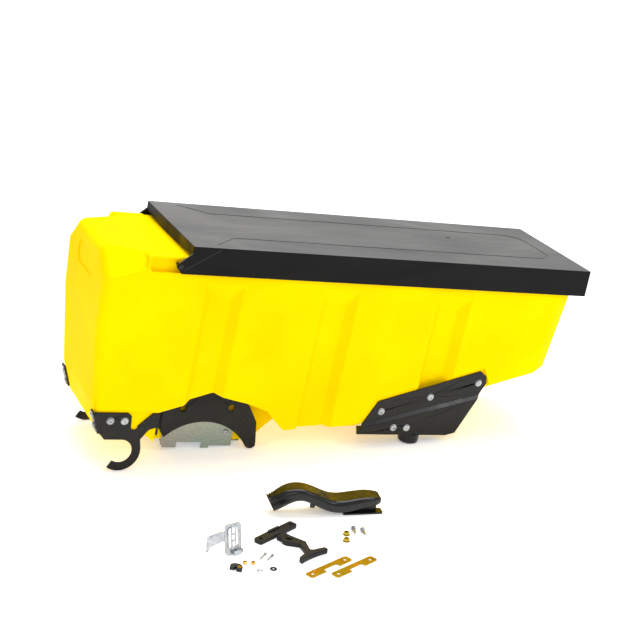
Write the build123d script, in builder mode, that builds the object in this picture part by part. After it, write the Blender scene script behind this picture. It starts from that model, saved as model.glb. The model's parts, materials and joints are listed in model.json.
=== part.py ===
from build123d import *
import os
from math import atan2, cos, degrees, hypot, pi, radians, sin

os.makedirs("parts", exist_ok=True)

# Towed spreader hopper with its hinged lid, carrying brackets, outlet and loose fitting kit.
# Hopper frame: x runs along the lid from its hinged end, y across it from the centre plane,
# z up from the lid's top, so most heights in it are negative. All sizes are in millimetres.

# Lid
lid_length = 1180.0
lid_width = 402.0
lid_wall = 4.0
lid_skirt = 74.0
end_skirt = 24.0
end_skirt_sag = 7.0
lid_edge_r = 3.0
panel_x = (96.0, lid_length - 64.0)
panel_half = 114.0
panel_groove = 10.0
panel_depth = 0.9
panel_flare = 60.0
dimple = (845.0, 40.0)
crease = ((-20.0, -68.0), (76.0, -6.0))
crease_w = 5.0
crease_h = 1.6
hinge_x = -27.0
hinge_z = -55.0
hinge_pin_r = 4.5
hinge_gap = 0.05
ear_r = 9.0
lid_to_wall = 8.0

# Hopper shell
shell_wall = 6.0
deck_z = -35.0
wall_draft = 0.055
nose_x = -212.0
nose_low = (-186.0, -445.0)
tail_inset = 22.0
tail_foot = (lid_length - 50.0, -309.0)
tail_strip = (42.0, 24.0)
belly = [(560.0, -497.0), (352.0, -514.0)]
keel_left = 20.0
keel_right = 290.0
keel_z = -575.0
keel_half = 80.0
lobe_foot = (-154.0, -541.0)
lobe_rise = (52.0, 42.0)
coaming_z = -7.0
coaming_wall = 9.0
seal_t = 2.7
hip_rise = 0.356
hip_cross = 0.853
hip_nose = (-205.0, -107.0)
hip_end = (-84.0, -142.0)
hip_end_run = 90.0
channel_w = 104.0
channel_floor = 60.0
channel_depth = 25.0
channel_top = -100.0
channel_ramp = 42.0
channel_x = [108.0, 436.0, 778.0]
pocket_ceiling = [(-9.0, -463.0), (62.0, -439.0), (140.0, -412.0), (232.0, -433.0), (292.0, -454.0)]
pocket_end = (334.0, -496.0)
lobe_half = 160.0
lobe_top = -457.0
hinge_pocket = (-56.0, -58.0, 88.0, 36.0)
hinge_pocket_depth = 15.0
nose_r = 26.0
edge_r = 12.0
channel_r = 9.0
scoop = (150.0, 62.0, -106.0, 5.0)

# Hook and arch brackets, one folded plate each side
plate_t = 5.0
hook_c = (-97.0, -574.0)
hook_r = 32.0
hook_strip = 23.0
hook_tip = -122.0
arch_half = 107.0
arch_crown = (150.0, -512.0)
arch_toe = (36.0, -558.0)
arch_foot_x = 271.0
arch_foot_w = 30.0
arch_hole_r = 8.5
arch_holes = [(77.0, -476.0), (214.0, -470.0)]
foot_lift = 1.5
hook_bolts = [(-135.0, -489.0), (-97.0, -489.0)]
wrap_reach = 27.0
wrap_length = 62.0
wrap_bolt_pitch = 30.0

# Rear brackets, folded sheet
rear_t = 4.0
rear_pad = 166.0
joggle = 8.0
joggle_run = 10.0
bend_r = 2.5
bend_start = (588.0, -482.0)
bend_end = (935.0, -388.0)
rear_top = [(618.0, -418.0), (919.0, -321.0), (940.0, -337.0), (945.0, -357.0)]
rear_flange_z = -514.0
rear_flange_x = (565.0, 845.0)
rear_flange_depth = 52.0
rear_bolts = [(631.0, -448.0), (775.0, -402.0), (918.0, -356.0)]
rear_low_bolts = [(674.0, -492.0), (715.0, -492.0)]
foot_x = 743.0
foot_r = 30.0
foot_drop = 29.0

# Outlet
outlet_x = (62.0, 218.0)
outlet_half = 58.0
zinc_t = 3.0
zinc_x = (40.0, 242.0)
zinc_top = -492.0
zinc_foot_z = -600.0
zinc_notch_z = -584.0
zinc_notch = (85.0, 156.0)
zinc_step_x = 178.0
zinc_step_z = -593.0
zinc_bolts = [(60.0, -512.0), (221.0, -512.0), (221.0, -554.0)]
seal_h = 2.2
shutter_t = 3.0
shutter_x = (46.0, 268.0)
slack = 0.3

# Fasteners
m8_r = 4.0
m8_head_r = 10.0
m8_head_h = 4.6
insert_r = 7.0
insert_len = 16.0
boss_r = 12.0
boss_len = 22.0
clear_r = 4.4

# Loose kit, laid out on the floor in front of the hopper
kit_depth = 404.0
base_hole_pitch = 110.0
backing_w = 25.0
backing_t = 2.0
backing_end = 15.0

# Stance: the part stands on its two hooks and its two rear feet
foot_z = rear_flange_z - foot_drop
hook_bottom = hook_c[1] - hook_r - hook_strip
pitch = atan2(foot_z - hook_bottom, foot_x - hook_c[0])
stand_height = -hook_bottom * cos(pitch) + hook_c[0] * sin(pitch)
left_reach = nose_x - 2 * plate_t - 21.0
row_centre = (left_reach + lid_length * cos(pitch)) / 2
hopper_y = (lid_width / 2 + kit_depth) / 2
stance = Plane(
    origin=(-row_centre, hopper_y, stand_height),
    x_dir=(cos(pitch), 0, -sin(pitch)),
    z_dir=(sin(pitch), 0, cos(pitch)),
)
SIDES = (("near", -1), ("far", 1))


def at(x, y, z):
    """A point of the hopper frame, in the part's own frame."""
    return stance.from_local_coords(Vector(x, y, z))


def side_plane(y):
    """Upright plane along the hopper: sketch x is length, sketch y is height, normal towards -Y."""
    return Plane(origin=at(0, y, 0), x_dir=stance.x_dir, z_dir=(0, -1, 0))


def end_plane(x):
    """Plane across the hopper: sketch x is width, sketch y is height."""
    return Plane(origin=at(x, 0, 0), x_dir=(0, 1, 0), z_dir=stance.x_dir)


def level_plane(z):
    """Plane parallel to the lid."""
    return Plane(origin=at(0, 0, z), x_dir=stance.x_dir, z_dir=stance.z_dir)


def outward(side, x, y, z):
    """Plane at a point of the hopper frame whose normal points out of the given side."""
    return Plane(origin=at(x, y, z), x_dir=stance.x_dir, z_dir=(0, side, 0))


def half_width(z):
    """Half the hopper's width at a height: the walls draw in towards the bottom."""
    return lid_width / 2 - lid_to_wall + wall_draft * z


def save(part, name, colour):
    part.label = name
    part.color = Color(colour)
    export_step(part, f"parts/{name}.step")


tail_top = (lid_length - tail_inset, deck_z)
profile = [
    (nose_x, deck_z),
    tail_top,
    tail_foot,
    *belly,
    (keel_right, keel_z),
    (keel_left, keel_z),
    (keel_left - lobe_rise[0], keel_z + lobe_rise[1]),
    lobe_foot,
    nose_low,
    (nose_x + 4.0, deck_z - 200.0),
]
nose_slope = atan2(nose_low[1] - lobe_foot[1], lobe_foot[0] - nose_low[0])
hip_const = hip_nose[1] - hip_rise * hip_nose[0]


def hip_cutter(side, grow):
    """Wedge above the sloping facet of the nose's roof, ended by the diagonal step to the deck."""
    start_x = nose_x - 60.0
    edge_y = half_width(deck_z)
    z_wall = hip_rise * start_x + hip_const - grow * 1.4
    run = (deck_z + 60.0 - z_wall) / hip_cross
    with BuildPart() as cutter:
        with BuildSketch(end_plane(start_x)):
            with BuildLine():
                Polyline(
                    (side * (edge_y + 30), z_wall - 30 * hip_cross),
                    (side * (edge_y - run), deck_z + 60),
                    (side * (edge_y + 30), deck_z + 60),
                    close=True,
                )
            make_face()
        slope_dir = stance.x_dir + stance.z_dir * hip_rise
        extrude(amount=300, dir=slope_dir)
        step = Vector(hip_end[1] - hip_end[0], -side * hip_end_run, 0)
        normal = Vector(hip_end_run, side * (hip_end[1] - hip_end[0]), 0)
        split(
            bisect_by=Plane(
                origin=at(hip_end[0] + grow, side * edge_y, deck_z),
                x_dir=stance.x_dir * step.X + Vector(0, step.Y, 0),
                z_dir=stance.x_dir * normal.X + Vector(0, normal.Y, 0),
            ),
            keep=Keep.BOTTOM,
        )
    return cutter.part


def channel_cutter(side, x, grow):
    """Recessed upright channel: a trapezoid that follows the wall's draft, with a sloping top end."""
    top = channel_top + grow
    wall_y = half_width(top)
    low_dir = stance.z_dir * -1 + Vector(0, -side * wall_draft, 0)
    depth = channel_depth + grow
    flank = (channel_w - channel_floor) / 2
    over = 30.0
    wide = channel_w / 2 + grow + over * flank / channel_depth
    with BuildPart() as cutter:
        with BuildSketch(level_plane(top)):
            with BuildLine():
                Polyline(
                    (x - wide, side * (wall_y + over)),
                    (x + wide, side * (wall_y + over)),
                    (x + channel_floor / 2 + grow, side * (wall_y - depth)),
                    (x - channel_floor / 2 - grow, side * (wall_y - depth)),
                    close=True,
                )
            make_face()
        extrude(amount=560, dir=low_dir)
        with BuildSketch(end_plane(x - 150)):
            with BuildLine():
                Polyline(
                    (side * (wall_y - 2 * depth), top - 2 * channel_ramp),
                    (side * (wall_y - 2 * depth), top + 2 * channel_ramp),
                    (side * (wall_y + 2 * depth), top + 2 * channel_ramp),
                    close=True,
                )
            make_face()
        extrude(amount=300, mode=Mode.SUBTRACT)
    return cutter.part


def tail_corner(side, grow):
    """Wedge off the upright corner of the tail; it follows the tail's slope and the wall's draft."""
    corner_x = tail_top[0] - grow * 0.6
    corner_y = half_width(deck_z)
    slope = (tail_foot[0] - tail_top[0]) / (tail_foot[1] - tail_top[1])
    low_dir = stance.x_dir * -slope + stance.z_dir * -1 + Vector(0, -side * wall_draft, 0)
    with BuildPart() as cutter:
        with BuildSketch(level_plane(deck_z)):
            with BuildLine():
                Polyline(
                    (corner_x - tail_strip[0] - 20, side * (corner_y + 20 * tail_strip[1] / tail_strip[0])),
                    (corner_x + 20, side * (corner_y - tail_strip[1] - 20 * tail_strip[1] / tail_strip[0])),
                    (corner_x + 20, side * (corner_y + 20)),
                    close=True,
                )
            make_face()
        extrude(amount=340, dir=low_dir)
    return cutter.part


def side_pocket(side, grow):
    """Space beside the keel that the arch plate stands in."""
    with BuildPart() as pocket:
        with BuildSketch(side_plane(side * (keel_half - grow))):
            with BuildLine():
                Polyline(
                    (pocket_ceiling[0][0], keel_z - 60),
                    *pocket_ceiling,
                    pocket_end,
                    (belly[1][0] + 4, belly[1][1] - 1),
                    (belly[1][0] + 4, keel_z - 60),
                    close=True,
                )
            make_face()
            if grow:
                offset(amount=grow, kind=Kind.INTERSECTION)
        extrude(amount=-side * 180)
    return pocket.part


def lobe_step(side, grow):
    """Step in the wall under the nose that the hook plate lies in."""
    with BuildPart() as stepped:
        with BuildSketch(side_plane(side * (lobe_half - grow))):
            with BuildLine():
                Polyline(
                    (nose_x - 40, lobe_top + grow),
                    (pocket_ceiling[0][0] + 2, pocket_ceiling[0][1] + grow),
                    (pocket_ceiling[0][0] + 2, keel_z - 60),
                    (nose_x - 40, keel_z - 60),
                    close=True,
                )
            make_face()
        extrude(amount=-side * 60)
    return stepped.part


def rear_recess(side, grow):
    """Upright flat pad in the drafted wall that the rear bracket bolts to."""
    with BuildPart() as recess:
        with BuildSketch(side_plane(side * (rear_pad - grow))):
            with BuildLine():
                Polyline(
                    (rear_top[0][0] - 14 - grow, rear_top[0][1] + 6 + grow),
                    (rear_top[1][0] + 6 + grow, rear_top[1][1] + 12 + grow),
                    (rear_top[3][0] + 16 + grow, rear_top[3][1] - 20),
                    (rear_top[3][0] + 16 + grow, rear_top[3][1] - 90),
                    (bend_start[0] - 50 - grow, bend_start[1] - 60),
                    close=True,
                )
            make_face()
        extrude(amount=-side * 60)
    return recess.part


def nose_scoop(grow):
    """Shallow rounded recess in the nose's face, under the top edge."""
    width, height, middle, depth = scoop
    with BuildPart() as recess:
        with BuildSketch(end_plane(nose_x - 40)):
            with Locations((0, middle)):
                RectangleRounded(width + 2 * grow, height + 2 * grow, 26 + grow)
        extrude(amount=40 + depth + grow)
    return recess.part


def reach(edge):
    """Smallest and largest x of an edge's ends, in the hopper frame."""
    ends = [stance.to_local_coords(edge.position_at(t)).X for t in (0, 1)]
    return min(ends), max(ends)


def soften_channel(form, side, x):
    """Rounds the long edges and the top edges of one channel."""
    rounded = []
    for edge in form.edges():
        ends = [stance.to_local_coords(edge.position_at(t)) for t in (0, 1)]
        beside = all(abs(end.X - x) < channel_w / 2 + 5 and end.Y * side > 138 for end in ends)
        if beside and max(end.Z for end in ends) > channel_top - 50 and min(end.Z for end in ends) > belly[1][1]:
            rounded.append(edge)
    fillet(rounded, channel_r)


def hopper_form(inset):
    """The hopper's outer form, or its cavity when it is drawn in by the wall."""
    with BuildPart() as form:
        with BuildSketch(side_plane(0)):
            with BuildLine():
                Polyline(*profile, close=True)
            make_face()
            if inset:
                offset(amount=-inset, kind=Kind.INTERSECTION)
        extrude(amount=lid_width, both=True)
        with BuildSketch(end_plane(nose_x - 100)):
            top_z = 20.0
            low_z = keel_z - 60
            with BuildLine():
                Polyline(
                    (half_width(top_z) - inset, top_z),
                    (half_width(low_z) - inset, low_z),
                    (inset - half_width(low_z), low_z),
                    (inset - half_width(top_z), top_z),
                    close=True,
                )
            make_face()
        extrude(amount=lid_length + 400, mode=Mode.INTERSECT)
        for _, side in SIDES:
            add(hip_cutter(side, inset), mode=Mode.SUBTRACT)
            add(tail_corner(side, inset), mode=Mode.SUBTRACT)
        fillet([edge for edge in form.edges() if reach(edge)[1] < -140], nose_r - inset)
        fillet([edge for edge in form.edges() if reach(edge)[0] > -160], edge_r - inset)
        add(nose_scoop(inset), mode=Mode.SUBTRACT)
        for _, side in SIDES:
            add(side_pocket(side, inset), mode=Mode.SUBTRACT)
            add(lobe_step(side, inset), mode=Mode.SUBTRACT)
            add(rear_recess(side, inset), mode=Mode.SUBTRACT)
            for x in channel_x:
                add(channel_cutter(side, x, inset), mode=Mode.SUBTRACT)
                if not inset:
                    soften_channel(form, side, x)
    return form.part


def ring_sketch(outer_gap, wall):
    """Rectangular ring around the filling mouth, drawn in the lid's plane."""
    mouth_x0 = 14.0 + outer_gap
    mouth_x1 = tail_top[0] - 8.0 - outer_gap
    half = half_width(deck_z) - 7.0 - outer_gap
    with BuildSketch() as ring:
        with Locations(((mouth_x0 + mouth_x1) / 2, 0)):
            RectangleRounded(mouth_x1 - mouth_x0, 2 * half, 30)
            RectangleRounded(mouth_x1 - mouth_x0 - 2 * wall, 2 * half - 2 * wall, 30 - wall, mode=Mode.SUBTRACT)
    return ring.sketch


def mouth_sketch():
    """The filling mouth itself."""
    mouth_x0 = 14.0 + coaming_wall
    mouth_x1 = tail_top[0] - 8.0 - coaming_wall
    half = half_width(deck_z) - 7.0 - coaming_wall
    with BuildSketch() as mouth:
        with Locations(((mouth_x0 + mouth_x1) / 2, 0)):
            RectangleRounded(mouth_x1 - mouth_x0, 2 * half, 30 - coaming_wall)
    return mouth.sketch


def wrap_plane(side):
    """Plane on the sloping underside of the nose, where the hook bracket wraps round."""
    normal = stance.x_dir * -sin(nose_slope) + stance.z_dir * -cos(nose_slope)
    mid = ((nose_low[0] + lobe_foot[0]) / 2, (nose_low[1] + lobe_foot[1]) / 2)
    return Plane(origin=at(mid[0], side * lobe_half, mid[1]), x_dir=(0, -side, 0), z_dir=normal)


def wrap_bolt_places(side):
    plane = wrap_plane(side)
    return [plane.shift_origin(plane.from_local_coords((wrap_reach / 2, along, 0))) for along in (-wrap_bolt_pitch / 2, wrap_bolt_pitch / 2)]


# Hopper shell: rotomoulded, one wall thickness all over, with a raised rim round the filling mouth
outer_form = hopper_form(0)
cavity_form = hopper_form(shell_wall)
with BuildPart() as hopper_shell:
    add(outer_form)
    with BuildSketch(level_plane(deck_z)):
        add(ring_sketch(0, coaming_wall))
    extrude(amount=coaming_z - deck_z)
    add(cavity_form, mode=Mode.SUBTRACT)
    with BuildSketch(level_plane(coaming_z + 1)):
        add(mouth_sketch())
    extrude(amount=-(coaming_z + 1 - deck_z + shell_wall + 1), mode=Mode.SUBTRACT)
    with BuildSketch(level_plane(keel_z - 1)):
        with Locations(((outlet_x[0] + outlet_x[1]) / 2, 0)):
            RectangleRounded(outlet_x[1] - outlet_x[0], 2 * outlet_half, 12)
    extrude(amount=shell_wall + 2, mode=Mode.SUBTRACT)
    for _, side in SIDES:
        pocket_mid = (hinge_pocket[0], hinge_pocket[1])
        boss_face = half_width(hinge_z) - hinge_pocket_depth
        with BuildSketch(side_plane(side * (boss_face - shell_wall))):
            with Locations(pocket_mid):
                RectangleRounded(hinge_pocket[2] + 2 * shell_wall, hinge_pocket[3] + 2 * shell_wall, 12)
        extrude(amount=-side * (hinge_pocket_depth + shell_wall - 1))
        with BuildSketch(side_plane(side * (boss_face - 14))):
            with Locations((hinge_x, hinge_z)):
                Circle(ear_r + 3)
        extrude(amount=-side * 14)
        with BuildSketch(side_plane(side * boss_face)):
            with Locations(pocket_mid):
                RectangleRounded(hinge_pocket[2], hinge_pocket[3], 10)
        extrude(amount=-side * 60, mode=Mode.SUBTRACT)
        with BuildSketch(side_plane(side * (boss_face - 8))):
            with Locations((hinge_x, hinge_z)):
                Circle(hinge_pin_r)
        extrude(amount=-side * 20, mode=Mode.SUBTRACT)
        for face_y, places in ((lobe_half, hook_bolts), (rear_pad, rear_bolts), (keel_half, zinc_bolts)):
            with BuildSketch(side_plane(side * (face_y - boss_len))):
                with Locations(*places):
                    Circle(boss_r)
            extrude(amount=-side * (boss_len - 2))
            with BuildSketch(side_plane(side * face_y)):
                with Locations(*places):
                    Circle(insert_r)
            extrude(amount=side * insert_len, mode=Mode.SUBTRACT)
        for place in wrap_bolt_places(side):
            with BuildSketch(place):
                Circle(boss_r)
            extrude(amount=-boss_len)
            with BuildSketch(place):
                Circle(insert_r)
            extrude(amount=-insert_len, mode=Mode.SUBTRACT)
save(hopper_shell.part, "hopper_shell", 0xFFE000)

# Lid: a formed sheet with deep skirts; the hinged end has a shallow skirt and two ears
with BuildPart() as lid:
    with BuildSketch(level_plane(-lid_skirt)):
        with Locations((lid_length / 2, 0)):
            Rectangle(lid_length, lid_width)
    extrude(amount=lid_skirt)
    fillet([edge for edge in lid.edges() if stance.to_local_coords(edge.center()).Z > -lid_skirt + 1], lid_edge_r)
    with BuildSketch(level_plane(-lid_skirt - 1)):
        with Locations((lid_length / 2, 0)):
            Rectangle(lid_length - 2 * lid_wall, lid_width - 2 * lid_wall)
    extrude(amount=lid_skirt + 1 - lid_wall, mode=Mode.SUBTRACT)
    inner_half = lid_width / 2 - lid_wall
    with BuildSketch(end_plane(-1)):
        with BuildLine():
            Line((-inner_half, -lid_skirt - 1), (-inner_half, -end_skirt))
            ThreePointArc((-inner_half, -end_skirt), (0, -end_skirt - end_skirt_sag), (inner_half, -end_skirt))
            Line((inner_half, -end_skirt), (inner_half, -lid_skirt - 1))
            Line((inner_half, -lid_skirt - 1), (-inner_half, -lid_skirt - 1))
        make_face()
    extrude(amount=lid_wall + 2, mode=Mode.SUBTRACT)
    for _, side in SIDES:
        with BuildSketch(side_plane(side * inner_half)):
            with BuildLine():
                Polyline(
                    (lid_wall, -end_skirt + 4),
                    (0, -end_skirt + 4),
                    (hinge_x - 0.75 * ear_r, hinge_z + 0.66 * ear_r),
                    (hinge_x - 0.5 * ear_r, hinge_z - 0.86 * ear_r),
                    (hinge_x + 6, -lid_skirt),
                    (lid_wall, -lid_skirt),
                    close=True,
                )
            make_face()
            with Locations((hinge_x, hinge_z)):
                Circle(ear_r)
        extrude(amount=-side * lid_wall)
        with BuildSketch(side_plane(side * (inner_half - 1))):
            with Locations((hinge_x, hinge_z)):
                Circle(hinge_pin_r + hinge_gap)
        extrude(amount=-side * (lid_wall + 2), mode=Mode.SUBTRACT)
    with BuildSketch(level_plane(0)):
        with Locations(((panel_x[0] + panel_x[1]) / 2, 0)):
            RectangleRounded(panel_x[1] - panel_x[0], 2 * panel_half, 58)
            RectangleRounded(panel_x[1] - panel_x[0] - 2 * panel_groove, 2 * (panel_half - panel_groove), 48,
                             mode=Mode.SUBTRACT)
        with Locations((panel_x[0] + 10, 0)):
            Rectangle(110, 2 * panel_half + 4, mode=Mode.SUBTRACT)
        for _, side in SIDES:
            with BuildLine():
                Polyline(
                    (panel_x[0] + 64, side * panel_half),
                    (panel_x[0] + 64, side * (panel_half - panel_groove)),
                    (panel_x[0] + 46, side * (panel_half - panel_groove)),
                    (panel_x[0] - 26, side * (panel_half + panel_flare)),
                    (panel_x[0] - 14, side * (panel_half + panel_flare)),
                    (panel_x[0] + 50, side * panel_half),
                    close=True,
                )
            make_face()
        with Locations(dimple):
            Circle(7)
            Circle(3, mode=Mode.SUBTRACT)
    extrude(amount=-panel_depth, mode=Mode.SUBTRACT)
    crease_run = hypot(crease[1][0] - crease[0][0], crease[1][1] - crease[0][1])
    crease_turn = degrees(atan2(crease[1][1] - crease[0][1], crease[1][0] - crease[0][0]))
    crease_mid = ((crease[0][0] + crease[1][0]) / 2, (crease[0][1] + crease[1][1]) / 2)
    for _, side in SIDES:
        with BuildSketch(side_plane(side * lid_width / 2)):
            with Locations(Location((*crease_mid, 0), (0, 0, crease_turn))):
                Rectangle(crease_run, crease_w)
        extrude(amount=-side * crease_h, taper=40)
save(lid.part, "lid", 0x2B2B2C)

# Foam seal on the rim that the lid closes on
with BuildPart() as lid_seal:
    with BuildSketch(level_plane(coaming_z)):
        add(ring_sketch(1.0, coaming_wall - 2))
    extrude(amount=seal_t)
save(lid_seal.part, "lid_seal", 0x1A1A1A)

# Hinge pins: headed, each through a lid ear into the hopper's boss
for label, side in SIDES:
    pin_inner = half_width(hinge_z) - hinge_pocket_depth - 8
    ear_outer = lid_width / 2
    with BuildPart() as hinge_pin:
        with BuildSketch(side_plane(side * pin_inner)):
            with Locations((hinge_x, hinge_z)):
                Circle(hinge_pin_r)
        extrude(amount=-side * (ear_outer + slack - pin_inner))
        with BuildSketch(side_plane(side * (ear_outer + slack))):
            with Locations((hinge_x, hinge_z)):
                Circle(ear_r - 2)
        extrude(amount=-side * 3)
    save(hinge_pin.part, f"hinge_pin_{label}", 0x1C1C1C)


def m8_screw(length):
    """Flanged dome-head screw with a hexagon socket, its seat at the origin and its head along +Z."""
    with BuildPart() as screw:
        Cylinder(m8_head_r, 1.6, align=(Align.CENTER, Align.CENTER, Align.MIN))
        Cylinder(m8_head_r - 1.5, m8_head_h, align=(Align.CENTER, Align.CENTER, Align.MIN))
        fillet(screw.faces().sort_by(Axis.Z)[-1].edges(), 2.6)
        Cylinder(m8_r, length, align=(Align.CENTER, Align.CENTER, Align.MAX))
        with BuildSketch(Plane.XY.offset(m8_head_h)):
            RegularPolygon(2.8, 6)
        extrude(amount=-2.4, mode=Mode.SUBTRACT)
    return screw.part


def ring_part(outer, inner, height):
    """Plain round bush or washer, standing on the origin along +Z."""
    with BuildPart() as ring:
        with BuildSketch():
            Circle(outer)
            Circle(inner, mode=Mode.SUBTRACT)
        extrude(amount=height)
    return ring.part


def hex_nut(flat_r, bore, height, flange_r=0.0):
    """Hexagon nut, with a round flange under it when one is asked for."""
    with BuildPart() as nut:
        with BuildSketch():
            RegularPolygon(flat_r, 6, major_radius=False)
        extrude(amount=height)
        chamfer(nut.faces().sort_by(Axis.Z)[-1].edges(), 0.6)
        if flange_r:
            Cylinder(flange_r, 1.4, align=(Align.CENTER, Align.CENTER, Align.MIN))
        Cylinder(bore, height, align=(Align.CENTER, Align.CENTER, Align.MIN), mode=Mode.SUBTRACT)
    return nut.part


def group(shape, planes):
    """One node of identical separate solids, one on each plane."""
    with BuildPart() as members:
        with Locations(*[plane.location for plane in planes]):
            add(shape)
    return members.part


# Hook bracket: hook plate beside the nose, wrap flange under it, cranked arm and arch plate
def hook_bracket(side):
    outer_r = hook_r + hook_strip
    tip = radians(hook_tip)
    tip_in = (hook_c[0] + hook_r * cos(tip), hook_c[1] + hook_r * sin(tip))
    tip_out = (hook_c[0] + outer_r * cos(tip), hook_c[1] + outer_r * sin(tip))
    floor_drop = (arch_foot_x + arch_foot_w / 2 - hook_c[0]) * (foot_z - hook_bottom) / (foot_x - hook_c[0])
    arch_floor = hook_bottom + floor_drop + foot_lift
    plate_top = pocket_ceiling[0][1] - 4
    crank_in = (-8.0, 20.0)
    crank_out = (-4.0, 24.0)
    with BuildPart() as bracket:
        with BuildSketch(side_plane(side * lobe_half)):
            with BuildLine():
                Polyline(
                    (hook_c[0], hook_c[1] + hook_r),
                    (hook_c[0] - 47, hook_c[1] + hook_r),
                    (hook_c[0] - 74, hook_c[1] + hook_r + 31),
                    (hook_c[0] - 81, plate_top),
                    (hook_c[0] + 8, plate_top),
                    (hook_c[0] + 18, plate_top - 8),
                    (hook_c[0] + 20, plate_top - 38),
                )
                ThreePointArc(
                    (hook_c[0] + 20, plate_top - 38),
                    (hook_c[0] + 28, plate_top - 47),
                    (hook_c[0] + 38, plate_top - 36),
                )
                Polyline(
                    (hook_c[0] + 38, plate_top - 36),
                    (hook_c[0] + 74, plate_top),
                    (crank_out[0], plate_top),
                    (crank_out[0], plate_top - 38),
                    (hook_c[0] + 69, plate_top - 46),
                    (hook_c[0] + 50, hook_c[1] + 34),
                    (hook_c[0] + outer_r, hook_c[1] + 8),
                    (hook_c[0] + outer_r, hook_c[1]),
                )
                ThreePointArc(
                    (hook_c[0] + outer_r, hook_c[1]),
                    (hook_c[0] + outer_r * cos(tip / 2), hook_c[1] + outer_r * sin(tip / 2)),
                    tip_out,
                )
                Line(tip_out, tip_in)
                ThreePointArc(tip_in, (hook_c[0] + hook_r * cos(-pi / 8), hook_c[1] + hook_r * sin(-pi / 8)),
                              (hook_c[0], hook_c[1] + hook_r))
            make_face()
            with Locations(*hook_bolts):
                Circle(clear_r, mode=Mode.SUBTRACT)
        extrude(amount=-side * plate_t)
        with BuildSketch(level_plane(plate_top - 62)):
            with BuildLine():
                Polyline(
                    (crank_out[0], side * (lobe_half + plate_t)),
                    (crank_out[1], side * (arch_half + plate_t)),
                    (crank_in[1], side * arch_half),
                    (crank_in[0], side * lobe_half),
                    close=True,
                )
            make_face()
        extrude(amount=62)
        with BuildSketch(side_plane(side * (lobe_half + 20))):
            with BuildLine():
                Polyline(
                    (hook_c[0] + 50, plate_top - 42),
                    (crank_out[0], plate_top - 38),
                    (arch_toe[0] - 12, arch_toe[1] + 16),
                    (arch_toe[0] - 12, arch_toe[1] - 30),
                    (hook_c[0] + 50, arch_toe[1] - 30),
                    close=True,
                )
            make_face()
        extrude(amount=side * 15, mode=Mode.SUBTRACT)
        with BuildSketch(side_plane(side * (lobe_half + 5.5))):
            with BuildLine():
                Polyline(
                    (crank_out[0] + 0.5, plate_top - 38),
                    (arch_toe[0] - 12, arch_toe[1] + 16),
                    (arch_toe[0] - 12, arch_toe[1] - 30),
                    (crank_out[0] + 0.5, arch_toe[1] - 30),
                    close=True,
                )
            make_face()
        extrude(amount=side * 60, mode=Mode.SUBTRACT)
        with BuildSketch(side_plane(side * arch_half)):
            with BuildLine():
                Polyline(
                    arch_toe,
                    (arch_toe[0] - 12, arch_toe[1] + 16),
                    (arch_toe[0] - 12, plate_top),
                    (pocket_ceiling[1][0] + 4, pocket_ceiling[1][1] - 8),
                    (pocket_ceiling[2][0], pocket_ceiling[2][1] - 8),
                    (pocket_ceiling[3][0] - 2, pocket_ceiling[3][1] - 8),
                    (pocket_ceiling[4][0] - 28, pocket_ceiling[4][1] - 8),
                    (arch_foot_x + 22, arch_crown[1] + 2),
                    (arch_foot_x + arch_foot_w, arch_floor + 20),
                    (arch_foot_x + arch_foot_w, arch_floor + 8),
                )
                ThreePointArc(
                    (arch_foot_x + arch_foot_w, arch_floor + 8),
                    (arch_foot_x + arch_foot_w / 2, arch_floor),
                    (arch_foot_x, arch_floor + 8),
                )
                ThreePointArc((arch_foot_x, arch_floor + 8), arch_crown, arch_toe)
            make_face()
            with Locations(*arch_holes):
                Circle(arch_hole_r, mode=Mode.SUBTRACT)
        extrude(amount=-side * plate_t)
        plane = wrap_plane(side)
        with BuildSketch(plane):
            with Locations((wrap_reach / 2 - plate_t / 2, 4)):
                RectangleRounded(wrap_reach + plate_t, wrap_length, 5)
            with Locations((wrap_reach / 2, -wrap_bolt_pitch / 2), (wrap_reach / 2, wrap_bolt_pitch / 2)):
                Circle(clear_r, mode=Mode.SUBTRACT)
        extrude(amount=plate_t)
    return bracket.part


for label, side in SIDES:
    save(hook_bracket(side), f"hook_bracket_{label}", 0x1E1E1F)
    seats = [outward(side, x, side * (lobe_half + plate_t), z) for x, z in hook_bolts]
    seats += [place.offset(plate_t) for place in wrap_bolt_places(side)]
    save(group(m8_screw(plate_t + 14), seats), f"hook_bracket_screws_{label}", 0xC8CACC)
    nests = [outward(side, x, side * lobe_half, z).offset(-insert_len) for x, z in hook_bolts]
    nests += [place.offset(-insert_len) for place in wrap_bolt_places(side)]
    save(group(ring_part(insert_r, m8_r, insert_len), nests), f"hook_bracket_inserts_{label}", 0xB9963C)


def bend_corners(section, up):
    """The four corners of the joggle in the bracket's section."""
    places = ((rear_t, 0), (rear_t + joggle, -up * joggle_run), (joggle, -up * (joggle_run + 1.5)), (0, -up * 1.5))
    return [section.vertices().sort_by_distance((*place, 0))[0] for place in places]


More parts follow.
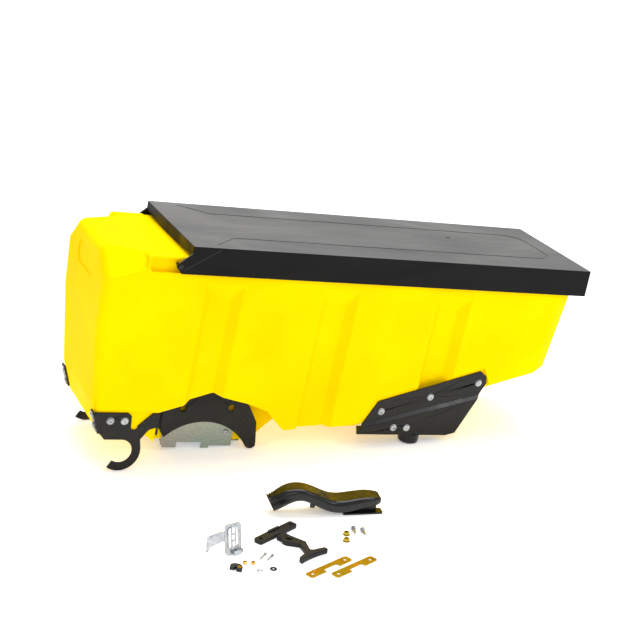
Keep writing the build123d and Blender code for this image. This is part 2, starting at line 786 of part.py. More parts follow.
# Rear bracket: upper flange on the hopper's pad, joggled web, and a bottom flange that carries the foot
def rear_bracket(side):
    run = hypot(bend_end[0] - bend_start[0], bend_end[1] - bend_start[1])
    bend_cos = (bend_end[0] - bend_start[0]) / run
    bend_sin = (bend_end[1] - bend_start[1]) / run
    along = stance.x_dir * bend_cos + stance.z_dir * bend_sin
    section = Plane(origin=at(bend_start[0], side * rear_pad, bend_start[1]), x_dir=(0, side, 0), z_dir=along)
    up = 1 if section.y_dir.Z > 0 else -1
    with BuildPart() as bracket:
        with BuildSketch(section.offset(-120)) as bracket_section:
            with BuildLine():
                Polyline(
                    (0, up * 150),
                    (rear_t, up * 150),
                    (rear_t, 0),
                    (rear_t + joggle, -up * joggle_run),
                    (rear_t + joggle, -up * 190),
                    (joggle, -up * 190),
                    (joggle, -up * (joggle_run + 1.5)),
                    (0, -up * 1.5),
                    close=True,
                )
            make_face()
            fillet(bend_corners(bracket_section, up), bend_r)
        extrude(amount=run + 240)
        with BuildSketch(side_plane(side * (rear_pad - 10))):
            with BuildLine():
                Polyline(
                    (rear_flange_x[0], rear_flange_z),
                    *rear_top,
                    (rear_flange_x[1] + 28, rear_flange_z + 8),
                    (rear_flange_x[1], rear_flange_z),
                    close=True,
                )
            make_face()
        extrude(amount=-side * 60, mode=Mode.INTERSECT)
        web_y = rear_pad + joggle + rear_t
        with BuildSketch(level_plane(rear_flange_z)):
            with BuildLine():
                Polyline(
                    (rear_flange_x[0], side * web_y),
                    (rear_flange_x[1], side * web_y),
                    (rear_flange_x[1] - 16, side * (web_y - rear_flange_depth)),
                    (rear_flange_x[0] + 22, side * (web_y - rear_flange_depth)),
                    close=True,
                )
            make_face()
            with Locations((foot_x, side * (web_y - rear_flange_depth / 2 - 2))):
                Circle(clear_r, mode=Mode.SUBTRACT)
        extrude(amount=rear_t)
        with BuildSketch(side_plane(side * (rear_pad - 10))):
            with Locations(*rear_bolts, *rear_low_bolts):
                Circle(clear_r)
        extrude(amount=-side * 60, mode=Mode.SUBTRACT)
    return bracket.part


web_inner = rear_pad + joggle
foot_y = web_inner + rear_t - rear_flange_depth / 2 - 2
angle_t = 4.0
angle_x = (650.0, 790.0)
for label, side in SIDES:
    save(rear_bracket(side), f"rear_bracket_{label}", 0x1E1E1F)
    seats = [outward(side, x, side * (rear_pad + rear_t), z) for x, z in rear_bolts]
    save(group(m8_screw(rear_t + 14), seats), f"rear_bracket_screws_{label}", 0xC8CACC)
    nests = [outward(side, x, side * rear_pad, z).offset(-insert_len) for x, z in rear_bolts]
    save(group(ring_part(insert_r, m8_r, insert_len), nests), f"rear_bracket_inserts_{label}", 0xB9963C)

    # Reinforcing angle inside the web and on the flange, over the foot
    flange_top = rear_flange_z + rear_t
    with BuildPart() as foot_angle:
        with BuildSketch(side_plane(side * (web_inner - angle_t))):
            with Locations(((angle_x[0] + angle_x[1]) / 2, flange_top + 16)):
                Rectangle(angle_x[1] - angle_x[0], 32)
            with Locations(*rear_low_bolts):
                Circle(clear_r, mode=Mode.SUBTRACT)
        extrude(amount=-side * angle_t)
        with BuildSketch(level_plane(flange_top)):
            with Locations(((angle_x[0] + angle_x[1]) / 2, side * (web_inner - 21))):
                Rectangle(angle_x[1] - angle_x[0], 42)
            with Locations((foot_x, side * foot_y)):
                Circle(clear_r, mode=Mode.SUBTRACT)
        extrude(amount=angle_t)
    save(foot_angle.part, f"foot_angle_{label}", 0x1E1E1F)
    low_seats = [outward(side, x, side * (web_inner + rear_t), z) for x, z in rear_low_bolts]
    low_screws = group(m8_screw(rear_t + angle_t + 9), low_seats)
    save(low_screws, f"web_screws_{label}", 0xC8CACC)
    nut_seats = [outward(-side, x, side * (web_inner - angle_t), z) for x, z in rear_low_bolts]
    save(group(hex_nut(6.5, m8_r, 6.5), nut_seats), f"web_nuts_{label}", 0xC8CACC)

    # Foot: a turned plastic peg, domed underneath, held by one screw from above
    foot_plane = level_plane(rear_flange_z)
    foot_top = Plane(origin=at(foot_x, side * foot_y, rear_flange_z), x_dir=stance.x_dir, z_dir=-stance.z_dir)
    with BuildPart() as rear_foot:
        with BuildSketch(foot_top):
            Circle(foot_r)
        extrude(amount=foot_drop, taper=3)
        fillet(rear_foot.faces().sort_by(Axis.Z)[0].edges(), 7)
        with BuildSketch(foot_top):
            Circle(m8_r)
        extrude(amount=22, mode=Mode.SUBTRACT)
    save(rear_foot.part, f"rear_foot_{label}", 0x1B1B1B)
    screw_seat = Plane(origin=at(foot_x, side * foot_y, flange_top + angle_t), x_dir=stance.x_dir,
                       z_dir=stance.z_dir)
    save(group(m8_screw(angle_t + rear_t + 20), [screw_seat]), f"foot_screw_{label}", 0xC8CACC)


# Outlet: passivated side plates on the keel, with feet turned in under the shutter
lip_in = 12.0
lip_z = zinc_notch_z
for label, side in SIDES:
    with BuildPart() as outlet_plate:
        with BuildSketch(side_plane(side * keel_half)):
            with BuildLine():
                Polyline(
                    (zinc_x[0], zinc_top),
                    (zinc_x[1], zinc_top),
                    (zinc_x[1], zinc_step_z),
                    (zinc_step_x, zinc_step_z),
                    (zinc_step_x, zinc_foot_z),
                    (zinc_notch[1], zinc_foot_z),
                    (zinc_notch[1], zinc_notch_z),
                    (zinc_notch[0], zinc_notch_z),
                    (zinc_notch[0], zinc_foot_z),
                    (zinc_x[0] + 8, zinc_foot_z),
                    (zinc_x[0], zinc_foot_z + 10),
                    close=True,
                )
            make_face()
            with Locations(*zinc_bolts):
                Circle(clear_r, mode=Mode.SUBTRACT)
        extrude(amount=-side * zinc_t)
        lip_spans = ((zinc_x[0], zinc_notch[0]), (zinc_notch[1], zinc_x[1]))
        for x0, x1 in lip_spans:
            with BuildSketch(level_plane(lip_z)):
                with Locations(((x0 + x1) / 2, side * (keel_half - lip_in / 2 + zinc_t / 2))):
                    Rectangle(x1 - x0, lip_in + zinc_t)
            extrude(amount=2.6)
    save(outlet_plate.part, f"outlet_plate_{label}", 0xBFC8A0)
    seats = [outward(side, x, side * (keel_half + zinc_t), z) for x, z in zinc_bolts]
    save(group(m8_screw(zinc_t + 14), seats), f"outlet_plate_screws_{label}", 0xB88A4A)
    nests = [outward(side, x, side * keel_half, z).offset(-insert_len) for x, z in zinc_bolts]
    save(group(ring_part(insert_r, m8_r, insert_len), nests), f"outlet_plate_inserts_{label}", 0xB9963C)

# Rubber seal round the outlet, between the keel and the shutter
with BuildPart() as outlet_seal:
    with BuildSketch(level_plane(keel_z)):
        with Locations(((outlet_x[0] + outlet_x[1]) / 2, 0)):
            RectangleRounded(outlet_x[1] - outlet_x[0] + 26, 2 * outlet_half + 26, 16)
            RectangleRounded(outlet_x[1] - outlet_x[0], 2 * outlet_half, 12, mode=Mode.SUBTRACT)
    extrude(amount=-seal_h)
save(outlet_seal.part, "outlet_seal", 0x1A1A1A)

# Shutter: slides along the hopper on the lips of the outlet plates
with BuildPart() as shutter:
    with BuildSketch(level_plane(keel_z - seal_h - slack)):
        with Locations(((shutter_x[0] + shutter_x[1]) / 2, 0)):
            RectangleRounded(shutter_x[1] - shutter_x[0], 2 * (keel_half - 1), 8)
        with Locations((shutter_x[1] - 20, 0)):
            SlotOverall(90, 22, rotation=90, mode=Mode.SUBTRACT)
    extrude(amount=-shutter_t)
save(shutter.part, "outlet_shutter", 0xC4C8CC)


# Loose fitting kit on the floor: each item on its own plane, with its own turn
def floor_plane(x, y, turn, z=0.0):
    """Level plane on the floor in the part's own frame, turned about Z."""
    return Plane(origin=(x, y, z), x_dir=(cos(radians(turn)), sin(radians(turn)), 0), z_dir=(0, 0, 1))


# Spout: an S-shaped duct with a round ribbed mouth and a flat shoe
spout_start = (-326.0, -169.0)
spout_end = (-34.0, -213.0)
spout_turn = degrees(atan2(spout_end[1] - spout_start[1], spout_end[0] - spout_start[0]))
spout_wall = 3.0
spout_line = Plane(
    origin=(spout_start[0], spout_start[1], 0),
    x_dir=(cos(radians(spout_turn)), sin(radians(spout_turn)), 0),
    z_dir=(sin(radians(spout_turn)), -cos(radians(spout_turn)), 0),
)
# along the spout, height of its middle, slope in degrees, half width, half height, corner radius
spout_stations = [
    (6.0, 27.0, 27.0, 22.0, 22.0, 18.0),
    (36.0, 43.0, 31.0, 25.0, 20.0, 15.0),
    (76.0, 56.0, -2.0, 29.0, 16.0, 11.0),
    (120.0, 42.0, -32.0, 32.0, 15.0, 11.0),
    (166.0, 23.0, -15.0, 34.0, 16.0, 12.0),
    (220.0, 25.0, 8.0, 33.0, 16.0, 12.0),
    (267.0, 31.0, 4.0, 28.0, 13.0, 9.0),
    (289.0, 32.0, 0.0, 20.0, 8.0, 5.5),
]


def spout_station(along, height, slope):
    centre = spout_line.from_local_coords((along, height, 0))
    tangent = spout_line.x_dir * cos(radians(slope)) + spout_line.y_dir * sin(radians(slope))
    return Plane(origin=centre, x_dir=spout_line.z_dir, z_dir=tangent)


with BuildPart() as spout:
    for along, height, slope, wide, tall, corner in spout_stations:
        with BuildSketch(spout_station(along, height, slope)):
            RectangleRounded(2 * wide, 2 * tall, corner)
    loft()
    mouth = spout_station(*spout_stations[0][:3])
    mouth_r = spout_stations[0][3]
    for rib in (0, 7, 14):
        with BuildSketch(mouth.offset(rib)):
            Circle(mouth_r + 1.6)
            Circle(mouth_r - spout_wall - 1, mode=Mode.SUBTRACT)
        extrude(amount=3)
    with BuildSketch(floor_plane(*spout_start, spout_turn)):
        with Locations((243, -16)):
            RectangleRounded(104, 26, 5)
    extrude(amount=4)
    with BuildSketch(floor_plane(*spout_start, spout_turn, 4)):
        with Locations((239, -6)):
            Rectangle(80, 22)
    extrude(amount=16)
    with BuildSketch(floor_plane(*spout_start, spout_turn, 22)):
        with Locations((110, -22)):
            Rectangle(12, 7)
    extrude(amount=20)
with BuildPart() as spout_inside:
    for along, height, slope, wide, tall, corner in spout_stations[:-1]:
        with BuildSketch(spout_station(along, height, slope)):
            RectangleRounded(2 * (wide - spout_wall), 2 * (tall - spout_wall), corner - spout_wall)
    loft()
    with BuildSketch(mouth):
        Circle(mouth_r - spout_wall - 0.5)
    extrude(amount=-20)
with BuildPart() as spout_duct:
    add(spout.part)
    add(spout_inside.part, mode=Mode.SUBTRACT)
    with BuildSketch(floor_plane(*spout_start, spout_turn)):
        with Locations((239, -6)):
            Rectangle(68, 14)
    extrude(amount=30, mode=Mode.SUBTRACT)
save(spout_duct.part, "spout", 0x232324)

# Latch: rubber base bar with two screw holes, and the pull strap with its eye and T handle
latch_turn = 28.0
latch_mid = (-346.0, -282.0)
base_t = 10.0
base_w = 25.0
with BuildPart() as latch_base:
    with BuildSketch(floor_plane(*latch_mid, latch_turn)):
        RectangleRounded(base_hole_pitch + 26, base_w, 6)
        with Locations((-base_hole_pitch / 2, 0), (base_hole_pitch / 2, 0)):
            Circle(4.5, mode=Mode.SUBTRACT)
    extrude(amount=base_t)
    with BuildSketch(floor_plane(*latch_mid, latch_turn, base_t)):
        with Locations((0, 7)):
            Rectangle(38, 8)
    extrude(amount=4)
save(latch_base.part, "latch_base", 0x1D1D1D)

eye = (-330.0, -328.0)
bend = (-304.0, -352.0)
neck = (-306.0, -388.0)
handle_mid = (-303.0, -402.0)
handle_turn = 22.5
handle_span = 84.0
strap_t = 12.0
with BuildPart() as latch_strap:
    for start, start_r, end, end_r in ((eye, 17, bend, 9), (bend, 9, neck, 7)):
        with BuildSketch():
            with Locations(start):
                Circle(start_r)
            with Locations(end):
                Circle(end_r)
            make_hull()
        extrude(amount=strap_t)
    with BuildSketch():
        with Locations(Location((-335.5, -312.5, 0), (0, 0, latch_turn))):
            Rectangle(28, 26)
    extrude(amount=strap_t)
    with BuildSketch(floor_plane(*latch_mid, latch_turn)):
        Rectangle(base_hole_pitch + 30, base_w + 0.6)
    extrude(amount=strap_t + 1, mode=Mode.SUBTRACT)
    with BuildSketch(floor_plane(*handle_mid, handle_turn)):
        with BuildLine():
            ThreePointArc((-handle_span / 2, -4), (0, 3), (handle_span / 2, -4))
            Line((handle_span / 2, -4), (handle_span / 2 + 1, -15))
            ThreePointArc((handle_span / 2 + 1, -15), (0, -11), (-handle_span / 2 - 1, -15))
            Line((-handle_span / 2 - 1, -15), (-handle_span / 2, -4))
        make_face()
    extrude(amount=14)
    with BuildSketch(floor_plane(*handle_mid, handle_turn)):
        with BuildLine():
            Polyline((-20, 1), (20, 1), (5, 15), (-7, 15), close=True)
        make_face()
    extrude(amount=strap_t)
    with BuildSketch(floor_plane(*eye, -36)):
        SlotOverall(17, 10)
    extrude(amount=strap_t, mode=Mode.SUBTRACT)
save(latch_strap.part, "latch_strap", 0x1D1D1D)

# Latch keeper: zinc plated; a windowed plate leaning on its own leaf, with a rolled lip at the foot
keeper_turn = 14.0
keeper_slope = 80.0
keeper_t = 2.5
keeper_size = (46.0, 76.0)
keeper_foot = floor_plane(-478.0, -350.0, keeper_turn)
keeper_face = Plane(
    origin=keeper_foot.origin + Vector(0, 0, keeper_t * cos(radians(keeper_slope))),
    x_dir=keeper_foot.x_dir,
    z_dir=keeper_foot.y_dir * -sin(radians(keeper_slope)) + Vector(0, 0, cos(radians(keeper_slope))),
)
leaf_start = keeper_face.from_local_coords((-keeper_size[0] / 2 + 4, 46, -1))
leaf_plane = Plane(origin=(leaf_start.X, leaf_start.Y, 0), x_dir=(-0.87, 0.49, 0), z_dir=(0.49, 0.87, 0))
with BuildPart() as latch_keeper:
    with BuildSketch(leaf_plane):
        with BuildLine():
            Polyline((-4, 34), (-4, 60), (12, 58), (46, 38), (46, 0), (40, 0), (36, 12), (10, 32), close=True)
        make_face()
    extrude(amount=keeper_t)
    with BuildSketch(keeper_face):
        with Locations((0, keeper_size[1] / 2)):
            Rectangle(2 * keeper_size[0], 2 * keeper_size[1])
    extrude(amount=20, mode=Mode.SUBTRACT)
    with BuildSketch(keeper_face):
        with Locations((0, keeper_size[1] / 2)):
            RectangleRounded(*keeper_size, 9)
        with Locations((0, 42)):
            RectangleRounded(26, 48, 6, mode=Mode.SUBTRACT)
    extrude(amount=-keeper_t)
    with BuildSketch(keeper_face):
        with Locations((0, 42)):
            RectangleRounded(32, 54, 9)
            RectangleRounded(26, 48, 6, mode=Mode.SUBTRACT)
    extrude(amount=1.5)
    with BuildSketch(keeper_face):
        with Locations((-5, 42), (6, 42)):
            Rectangle(4, 50)
        with Locations((0, 34), (0, 50)):
            Rectangle(15, 4)
    extrude(amount=-keeper_t + 4.5)
    with BuildSketch(keeper_face):
        with Locations((9, 6)):
            Rectangle(26, 8)
    extrude(amount=9)
save(latch_keeper.part, "latch_keeper", 0xC3C7CB)

# Backing plates for the latch base: two holes and a notch on the front edge
plate_places = (("backing_plate_1", (-280.0, -461.0), 23.7), ("backing_plate_2", (-220.5, -474.5), 23.5))
for name, centre, turn in plate_places:
    with BuildPart() as backing_plate:
        with BuildSketch(floor_plane(*centre, turn)):
            RectangleRounded(base_hole_pitch + 2 * backing_end, backing_w, 7)
            with Locations((-base_hole_pitch / 2, 0), (base_hole_pitch / 2, 0)):
                Circle(4.2, mode=Mode.SUBTRACT)
            with Locations((2, -backing_w / 2 + 4)):
                Rectangle(44, 14, mode=Mode.SUBTRACT)
        extrude(amount=backing_t)
    save(backing_plate.part, name, 0xB58F2E)

# Corner clip with its brass insert
clip_spot = (-496.0, -418.0)
clip_r = 15.0
clip_t = 9.0
clip_bore = (8.5, -3.5)
with BuildPart() as corner_clip:
    with BuildSketch(floor_plane(*clip_spot, -30)):
        with BuildLine():
            ThreePointArc((clip_r, -6), (6, clip_r - 3), (-clip_r, 6))
            Polyline((-clip_r, 6), (-clip_r, -7), (-4, -7), (-1, -1), (2, -11), (clip_r, -11), (clip_r, -6))
        make_face()
        with Locations(clip_bore):
            Circle(4.5, mode=Mode.SUBTRACT)
    extrude(amount=clip_t)
save(corner_clip.part, "corner_clip", 0x1F1F1F)
insert_seat = floor_plane(*clip_spot, -30)
insert_place = insert_seat.shift_origin(insert_seat.from_local_coords((*clip_bore, 0)))
save(group(ring_part(4.5, 2.5, clip_t + 1), [insert_place]), "clip_insert", 0xC79A3A)

# Loose nuts, screws and washer
brass_nut_places = [floor_plane(-467, -398, 10), floor_plane(-449, -404, 35)]
save(group(hex_nut(5.0, 2.5, 6.0), brass_nut_places), "brass_nuts", 0xC79A3A)
flange_nut_places = [floor_plane(-175, -322, 12), floor_plane(-188, -352, 20)]
save(group(hex_nut(6.5, m8_r, 8.0, 8.9), flange_nut_places), "flange_nuts", 0xC9A040)


def lying_screw(head_r, head_h, shank_r, length):
    """Round-head screw on its side along +X, head first, touching the floor with its head."""
    with BuildPart() as screw:
        with BuildSketch(Plane.YZ):
            with Locations((0, head_r)):
                Circle(head_r)
        extrude(amount=head_h)
        with BuildSketch(Plane.YZ.offset(head_h)):
            with Locations((0, head_r)):
                Circle(shank_r)
        extrude(amount=length)
    return screw.part


clip_screw_places = [floor_plane(-407, -372, -135), floor_plane(-392, -382, -137)]
save(group(lying_screw(4.2, 3.0, 2.0, 26.0), clip_screw_places), "clip_screws", 0xC6C8CA)
save(group(lying_screw(5.5, 4.0, 3.0, 11.0), [floor_plane(-453, -440, -28)]), "short_screw", 0xC6C8CA)
latch_screw_places = [floor_plane(-150, -306, -104), floor_plane(-131, -318, -97)]
save(group(lying_screw(7.0, 4.2, 3.4, 26.0), latch_screw_places), "latch_screws", 0xC6C8CA)
save(group(ring_part(8.5, 3.4, 1.5), [floor_plane(-411, -438, 0)]), "rubber_washer", 0x202020)
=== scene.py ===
import json
from math import radians

import bpy
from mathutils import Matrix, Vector

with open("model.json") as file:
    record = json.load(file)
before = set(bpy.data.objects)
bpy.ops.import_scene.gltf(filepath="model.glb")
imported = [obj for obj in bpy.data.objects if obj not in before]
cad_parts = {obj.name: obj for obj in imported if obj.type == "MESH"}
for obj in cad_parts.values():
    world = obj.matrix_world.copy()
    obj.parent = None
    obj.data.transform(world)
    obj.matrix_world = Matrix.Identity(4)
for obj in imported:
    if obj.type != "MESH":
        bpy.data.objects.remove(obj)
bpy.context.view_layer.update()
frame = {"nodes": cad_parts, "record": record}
nodes = frame["nodes"]
MM = 0.001

# Edge rounding in mm on the pieces whose sheared, folded or moulded edges show
EASED_EDGES = {
    "hook_bracket_near": 1.3,
    "hook_bracket_far": 1.3,
    "rear_bracket_near": 1.2,
    "rear_bracket_far": 1.2,
    "latch_strap": 1.4,
    "latch_base": 1.2,
    "corner_clip": 1.0,
}
EDGE_SEGMENTS = 2
EDGE_ANGLE = 32
WELD_MM = 0.02

# Studio, in metres and watts
FLOOR_SIZE = 60
FLOOR_DROP = 0.0005
FLOOR_GLOW = 0.3
WORLD_STRENGTH = 0.7
SENSOR_MM = 36.0
LENS_MM = 87.1875
CAMERA_PLACE = (-1.6817, -3.3597, 1.7871)
CAMERA_TURN = (69.873, -5.071, -22.605)


# ---------------------------------------------------------------- materials
def linear(code):
    """A #rrggbb colour as linear RGBA."""
    values = [int(code[i:i + 2], 16) / 255 for i in (1, 3, 5)]
    return [v / 12.92 if v <= 0.04045 else ((v + 0.055) / 1.055) ** 2.4 for v in values] + [1.0]


def add_node(material, kind, x, y, settings=None, inputs=None):
    """One shader node, with its settings and its constant inputs."""
    node = material.node_tree.nodes.new(kind)
    node.location = (x, y)
    for key, value in (settings or {}).items():
        setattr(node, key, value)
    for key, value in (inputs or {}).items():
        node.inputs[key].default_value = value
    return node


def new_material(name, colour, roughness, **extra):
    """A material with a Principled shader and Object coordinates in metres."""
    material = bpy.data.materials.new(name)
    material.use_nodes = True
    shader = material.node_tree.nodes["Principled BSDF"]
    shader.inputs["Base Color"].default_value = linear(colour)
    shader.inputs["Roughness"].default_value = roughness
    for key, value in extra.items():
        shader.inputs[key.replace("_", " ")].default_value = value
    place = add_node(material, "ShaderNodeTexCoord", -1500, 0)
    return material, shader, place


def noise(material, place, size_mm, detail=3.0, distortion=0.0, stretch=None, y=0):
    """Noise whose patches measure about size_mm on the real object; stretch elongates them."""
    links = material.node_tree.links
    texture = add_node(material, "ShaderNodeTexNoise", -1100, y, None,
                       {"Scale": 1000.0 / size_mm, "Detail": detail, "Distortion": distortion})
    if stretch:
        mapping = add_node(material, "ShaderNodeMapping", -1300, y, None, {"Scale": stretch})
        links.new(place.outputs["Object"], mapping.inputs["Vector"])
        links.new(mapping.outputs["Vector"], texture.inputs["Vector"])
    else:
        links.new(place.outputs["Object"], texture.inputs["Vector"])
    return texture


def ramp(material, source, stops, y=0, x=-800):
    """Colour ramp over a value; stops are (position, #rrggbb or grey value)."""
    node = add_node(material, "ShaderNodeValToRGB", x, y)
    elements = node.color_ramp.elements
    while len(elements) < len(stops):
        elements.new(0.5)
    for element, (position, colour) in zip(elements, stops):
        element.position = position
        element.color = linear(colour) if isinstance(colour, str) else (colour, colour, colour, 1.0)
    material.node_tree.links.new(source, node.inputs["Fac"])
    return node


def add_bump(material, shader, heights):
    """Bump layers, (height output, real depth in mm), chained into the shader's normal."""
    links = material.node_tree.links
    previous = None
    for index, (output, depth_mm) in enumerate(heights):
        bump = add_node(material, "ShaderNodeBump", -350, -300 - 160 * index, None,
                        {"Strength": 1.0, "Distance": depth_mm * MM})
        links.new(output, bump.inputs["Height"])
        if previous:
            links.new(previous.outputs["Normal"], bump.inputs["Normal"])
        previous = bump
    links.new(previous.outputs["Normal"], shader.inputs["Normal"])


def link(material, output, socket):
    material.node_tree.links.new(output, socket)


def facing_up(material):
    """1 on faces that look up from the object's own base, 0 on upright ones."""
    place = add_node(material, "ShaderNodeTexCoord", -1500, 600)
    split = add_node(material, "ShaderNodeSeparateXYZ", -1300, 600)
    link(material, place.outputs["Normal"], split.inputs["Vector"])
    return ramp(material, split.outputs["Z"], ((0.55, 0.0), (0.9, 1.0)), 600, -1100)


def mixed(material, factor, low, high, y=500):
    """Value or colour mixed by a 0 to 1 factor."""
    colour = isinstance(low, str) or hasattr(low, "links")
    node = add_node(material, "ShaderNodeMix", -500, y, {"data_type": "RGBA" if colour else "FLOAT"})
    first, second = (6, 7) if colour else (2, 3)
    for index, value in ((first, low), (second, high)):
        if isinstance(value, str):
            node.inputs[index].default_value = linear(value)
        elif hasattr(value, "links"):
            link(material, value, node.inputs[index])
        else:
            node.inputs[index].default_value = value
    link(material, factor, node.inputs[0])
    return node.outputs[2 if colour else 0]


def rotomoulded_polyethylene():
    # Rotomoulded polyethylene: waxy satin skin with a slow waviness from the mould and a fine orange peel,
    # a little light goes in and comes out again, so shaded hollows turn warm instead of grey.
    m, shader, place = new_material("rotomoulded_polyethylene", "#ffdc00", 0.46)
    shader.inputs["Specular IOR Level"].default_value = 0.005
    shader.inputs["Subsurface Weight"].default_value = 0.06
    shader.inputs["Subsurface Radius"].default_value = (0.02, 0.012, 0.002)
    shader.inputs["Subsurface Scale"].default_value = 0.3
    wave = noise(m, place, 160, 2.0, y=300)
    peel = noise(m, place, 2.2, 3.0, y=-300)
    scuff = noise(m, place, 26, 8.0, 0.8, (1.0, 1.0, 0.35), y=0)
    tone = ramp(m, wave.outputs["Fac"], ((0.25, "#fdd000"), (0.75, "#ffdd00")), y=300)
    link(m, tone.outputs["Color"], shader.inputs["Base Color"])
    worn = ramp(m, scuff.outputs["Fac"], ((0.35, 0.4), (0.62, 0.56)), y=0)
    link(m, worn.outputs["Color"], shader.inputs["Roughness"])
    add_bump(m, shader, ((wave.outputs["Fac"], 2.0), (peel.outputs["Fac"], 0.04)))
    return m


def formed_black_sheet():
    # Vacuum formed ABS sheet: grained, with drawn-out streaks of rougher plastic along its length; its top
    # is painted lighter grey in slow patches as painted light from the bright room above, and its skirts
    # stay smooth and near black.
    m, shader, place = new_material("formed_black_sheet", "#161616", 0.5)
    up = facing_up(m).outputs["Color"]
    grain = noise(m, place, 0.9, 2.0, y=-300)
    streak = noise(m, place, 55, 7.0, 0.8, (0.2, 1.0, 1.0), y=0)
    light_patch_noise = noise(m, place, 230, 5.0, 0.9, (0.45, 1.0, 1.0), y=300)
    # Painted light: faces looking up get lighter greys, in slow random patches, for the bright room above;
    # the skirts keep near black
    top_light_greys = ((0.3, "#383837"), (0.5, "#4d4c4b"), (0.72, "#656462"))
    painted_top_light = ramp(m, light_patch_noise.outputs["Fac"], top_light_greys, y=300)
    tone = mixed(m, up, "#0a0a0a", painted_top_light.outputs["Color"], y=700)
    link(m, tone, shader.inputs["Base Color"])
    streaks = ramp(m, streak.outputs["Fac"], ((0.35, 0.36), (0.65, 0.58)), y=0)
    link(m, streaks.outputs["Color"], shader.inputs["Roughness"])
    link(m, mixed(m, up, 0.14, 0.75, y=900), shader.inputs["Specular IOR Level"])
    add_bump(m, shader, ((grain.outputs["Fac"], 0.05), (light_patch_noise.outputs["Fac"], 0.7)))
    return m


def powder_coat():
    # Black powder coat baked on folded steel: even satin with a fine orange peel that breaks up highlights.
    m, shader, place = new_material("black_powder_coat", "#070707", 0.3)
    shader.inputs["Specular IOR Level"].default_value = 0.3
    peel = noise(m, place, 1.4, 3.0, y=-300)
    dust = noise(m, place, 70, 5.0, 0.4, y=0)
    rough = ramp(m, dust.outputs["Fac"], ((0.3, 0.22), (0.7, 0.34)), y=0)
    link(m, rough.outputs["Color"], shader.inputs["Roughness"])
    add_bump(m, shader, ((peel.outputs["Fac"], 0.06),))
    return m


def bright_zinc():
    # Electroplated zinc: bright and slightly cloudy, with a blue-grey cast and faint drawn lines.
    m, shader, place = new_material("bright_zinc_plate", "#a4a8ad", 0.26, Metallic=1.0)
    cloud = noise(m, place, 14, 4.0, y=0)
    drawn = noise(m, place, 1.2, 2.0, stretch=(0.1, 1.0, 1.0), y=-300)
    tone = ramp(m, cloud.outputs["Fac"], ((0.3, "#8d9298"), (0.7, "#bcc0c4")), y=300)
    link(m, tone.outputs["Color"], shader.inputs["Base Color"])
    rough = ramp(m, cloud.outputs["Fac"], ((0.3, 0.2), (0.7, 0.34)), y=0)
    link(m, rough.outputs["Color"], shader.inputs["Roughness"])
    add_bump(m, shader, ((drawn.outputs["Fac"], 0.01),))
    return m


def yellow_passivate(name, stops, size_mm):
    # Zinc with a yellow chromate film: the film's thickness drifts, so the colour runs through bands of
    # gold, olive, green and violet over a bright metal.
    m, shader, place = new_material(name, "#b9a24a", 0.28, Metallic=1.0)
    film = noise(m, place, size_mm, 2.0, 0.7, y=200)
    cloud = noise(m, place, 9, 4.0, y=-100)
    tone = ramp(m, film.outputs["Fac"], stops, y=300)
    link(m, tone.outputs["Color"], shader.inputs["Base Color"])
    rough = ramp(m, cloud.outputs["Fac"], ((0.3, 0.18), (0.7, 0.36)), y=0)
    link(m, rough.outputs["Color"], shader.inputs["Roughness"])
    add_bump(m, shader, ((cloud.outputs["Fac"], 0.03),))
    return m


def turned_brass():
    # Turned brass: fine tool rings catch the light, slightly dulled by handling.
    m, shader, place = new_material("turned_brass", "#c79d45", 0.26, Metallic=1.0)
    ring = noise(m, place, 0.8, 2.0, y=-200)
    stain = noise(m, place, 6, 4.0, y=100)
    tone = ramp(m, stain.outputs["Fac"], ((0.3, "#b88a35"), (0.7, "#dcb765")), y=300)
    link(m, tone.outputs["Color"], shader.inputs["Base Color"])
    add_bump(m, shader, ((ring.outputs["Fac"], 0.012),))
    return m


def moulded_rubber():
    # Compression moulded rubber: matt, near black, with a dusty bloom in patches.
    m, shader, place = new_material("moulded_rubber", "#0b0b0b", 0.62)
    shader.inputs["Specular IOR Level"].default_value = 0.3
    bloom = noise(m, place, 22, 5.0, y=100)
    skin = noise(m, place, 0.9, 3.0, y=-200)
    tone = ramp(m, bloom.outputs["Fac"], ((0.35, "#090909"), (0.7, "#141413")), y=300)
    link(m, tone.outputs["Color"], shader.inputs["Base Color"])
    rough = ramp(m, bloom.outputs["Fac"], ((0.3, 0.48), (0.7, 0.68)), y=0)
    link(m, rough.outputs["Color"], shader.inputs["Roughness"])
    add_bump(m, shader, ((skin.outputs["Fac"], 0.04),))
    return m


def foam_strip():
    # Closed cell foam: matt black with small open cells on its cut faces.
    m, shader, place = new_material("foam_strip", "#141414", 0.85)
    cell = add_node(m, "ShaderNodeTexVoronoi", -1100, -200, None, {"Scale": 1000 / 1.1})
    link(m, place.outputs["Object"], cell.inputs["Vector"])
    add_bump(m, shader, ((cell.outputs["Distance"], 0.2),))
    return m


def moulded_black_plastic():
    # Injection or blow moulded polypropylene: smooth and half glossy, so it mirrors the bright room in
    # long soft highlights.
    m, shader, place = new_material("moulded_black_plastic", "#090909", 0.26)
    shader.inputs["Specular IOR Level"].default_value = 0.35
    flow = noise(m, place, 40, 3.0, 0.5, y=0)
    skin = noise(m, place, 1.6, 2.0, y=-300)
    rough = ramp(m, flow.outputs["Fac"], ((0.3, 0.2), (0.7, 0.34)), y=0)
    link(m, rough.outputs["Color"], shader.inputs["Roughness"])
    add_bump(m, shader, ((flow.outputs["Fac"], 0.5), (skin.outputs["Fac"], 0.02)))
    return m


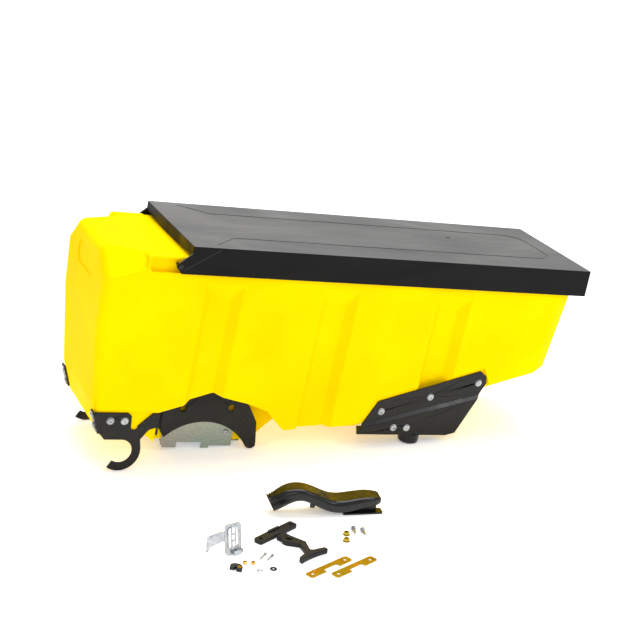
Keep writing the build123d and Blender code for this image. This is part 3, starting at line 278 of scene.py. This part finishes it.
finish = {
    "hopper_polyethylene": rotomoulded_polyethylene(),
    "lid_plastic": formed_black_sheet(),
    "powder_coated_steel": powder_coat(),
    "bright_zinc": bright_zinc(),
    "yellow_zinc": yellow_passivate(
        "yellow_passivated_zinc",
        ((0.32, "#8a7426"), (0.45, "#b28f2c"), (0.55, "#9c9236"), (0.66, "#bf8f3a")), 60),
    "outlet_zinc": yellow_passivate(
        "iridescent_passivated_zinc",
        ((0.3, "#a38f80"), (0.42, "#a39a6c"), (0.52, "#8c9a83"), (0.62, "#8f9b93"), (0.72, "#a08e88")), 240),
    "brass": turned_brass(),
    "rubber": moulded_rubber(),
    "seal_foam": foam_strip(),
    "black_plastic": moulded_black_plastic(),
}
slot_of = {item["node"]: item["material_slot"] for item in frame["record"]["subparts"]}
for name, obj in nodes.items():
    key = "outlet_zinc" if name in ("outlet_plate_near", "outlet_plate_far") else slot_of[name]
    obj.data.materials.clear()
    obj.data.materials.append(finish[key])


def ease_edges(obj, width_mm):
    """Rounds the sharp edges of a piece by a real width, on top of its own mesh."""
    weld = obj.modifiers.new("weld", "WELD")
    weld.merge_threshold = WELD_MM * MM
    bevel = obj.modifiers.new("eased_edges", "BEVEL")
    bevel.width = width_mm * MM
    bevel.segments = EDGE_SEGMENTS
    bevel.limit_method = "ANGLE"
    bevel.angle_limit = radians(EDGE_ANGLE)
    bevel.use_clamp_overlap = False
    bevel.harden_normals = True


for name, width in EASED_EDGES.items():
    ease_edges(nodes[name], width)


# ---------------------------------------------------------------- studio
def area_light(name, place, target, size, watts):
    """A rectangular softbox aimed at a point."""
    data = bpy.data.lights.new(name, "AREA")
    data.shape = "RECTANGLE"
    data.size, data.size_y = size
    data.energy = watts
    lamp = bpy.data.objects.new(name, data)
    bpy.context.collection.objects.link(lamp)
    lamp.location = place
    lamp.rotation_euler = (Vector(target) - Vector(place)).to_track_quat("-Z", "Y").to_euler()


# Seamless white paper floor; its slight glow stands in for the light that a lit backdrop sends back
bpy.ops.mesh.primitive_plane_add(size=FLOOR_SIZE, location=(0, 0, -FLOOR_DROP))
floor = bpy.context.object
floor.name = "studio_floor"
paper, paper_shader, paper_place = new_material("studio_paper", "#ffffff", 0.75)
paper_grain = noise(paper, paper_place, 6, 4.0)
add_bump(paper, paper_shader, ((paper_grain.outputs["Fac"], 0.05),))
paper_shader.inputs["Emission Color"].default_value = linear("#ffffff")
paper_shader.inputs["Emission Strength"].default_value = FLOOR_GLOW
floor.data.materials.append(paper)

world = bpy.data.worlds.new("studio_white")
world.use_nodes = True
world.node_tree.nodes["Background"].inputs["Color"].default_value = linear("#ffffff")
world.node_tree.nodes["Background"].inputs["Strength"].default_value = WORLD_STRENGTH
bpy.context.scene.world = world
area_light("key_softbox", (-1.5, -3.6, 2.3), (0, 0.1, 0.3), (1.8, 1.8), 28)
area_light("edge_strip", (1.4, -1.9, 2.3), (0.3, 0.1, 0.15), (0.5, 0.3), 14)
area_light("top_softbox", (0.2, 0.9, 3.4), (0, 0.2, 0.4), (3.2, 2.0), 120)

bpy.context.scene.view_settings.view_transform = "Standard"

# Camera: an 87 mm lens, a little rolled, from the nose's near corner
camera_data = bpy.data.cameras.new("camera")
camera_data.sensor_width = SENSOR_MM
camera_data.lens = LENS_MM
camera = bpy.data.objects.new("camera", camera_data)
bpy.context.collection.objects.link(camera)
camera.location = CAMERA_PLACE
camera.rotation_euler = [radians(angle) for angle in CAMERA_TURN]
bpy.context.scene.camera = camera
